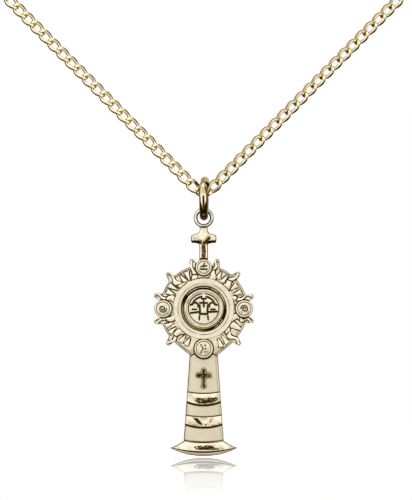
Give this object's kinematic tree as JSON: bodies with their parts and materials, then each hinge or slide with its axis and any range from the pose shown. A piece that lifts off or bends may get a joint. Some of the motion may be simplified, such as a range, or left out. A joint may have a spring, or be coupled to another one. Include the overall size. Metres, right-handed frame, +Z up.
{
  "type": "monstrance pendant on a chain",
  "caption": "Monstrance-shaped gold pendant on a jump ring and twisted curb chain held taut in a V, with a spring ring clasp and an end tag.",
  "frame": {"origin": "halfway between the two places where the chain's ends are held, on the line that the chain swings about", "axes": "+X to the right as the pendant faces the viewer, -Y the way the pendant faces, +Z up"},
  "size_m": [0.0638, 0.0056, 0.066],
  "materials": {
    "struck_gold": "fine matte, sand-blasted field",
    "relief_gold": "satin raised relief with dark grooves",
    "polished_gold": "polished",
    "chain_gold": "polished",
    "ring_gold": "polished",
    "clasp_gold": "polished",
    "spring_steel": "drawn wire"
  },
  "bodies": {
    "held_ends": {"clasp_body": "clasp_gold", "clasp_eye": "clasp_gold", "clasp_spring": "spring_steel", "clasp_connector_ring": "ring_gold", "end_tag": "clasp_gold", "tag_connector_ring": "ring_gold"},
    "clasp_bolt": {"clasp_bolt": "clasp_gold"},
    "chain": {"chain_links_left": "chain_gold", "chain_links_right": "chain_gold", "centre_link": "chain_gold"},
    "jump_ring": {"jump_ring": "ring_gold"},
    "pendant": {"hanging_loop": "polished_gold", "glory_plate": "struck_gold", "glory_rays": "relief_gold", "roundel_top": "relief_gold", "roundel_left": "relief_gold", "roundel_right": "relief_gold", "roundel_bottom": "relief_gold", "field_ring": "struck_gold", "bezel_ring": "polished_gold", "host_disc": "struck_gold", "host_ring": "relief_gold", "host_emblem": "relief_gold", "foot": "polished_gold", "foot_lip": "polished_gold", "stem": "struck_gold", "upper_band": "polished_gold", "lower_band": "polished_gold", "stem_border_left": "polished_gold", "stem_border_right": "polished_gold", "stem_cross": "polished_gold", "finial_cross": "polished_gold"}
  },
  "joints": [
    {"name": "chain_swing", "type": "hinge", "parent": "held_ends", "child": "chain", "pos_m": [0, 0, 0], "axis": [1, 0, 0], "range_deg": [-25, 25]},
    {"name": "ring_swing", "type": "hinge", "parent": "chain", "child": "jump_ring", "pos_m": [0, 0, -0.02565], "axis": [1, 0, 0], "range_deg": [-60, 60]},
    {"name": "pendant_swing", "type": "hinge", "parent": "jump_ring", "child": "pendant", "pos_m": [0, 0, -0.02887], "axis": [0, 1, 0], "range_deg": [-45, 45]},
    {"name": "clasp_trigger", "type": "hinge", "parent": "held_ends", "child": "clasp_bolt", "pos_m": [-0.02987, -0.00011, 0.00391], "axis": [0, 1, 0], "range_deg": [0, 45], "stiffness_Nm_per_rad": 0.0025, "deforming": ["clasp_spring"]}
  ]
}
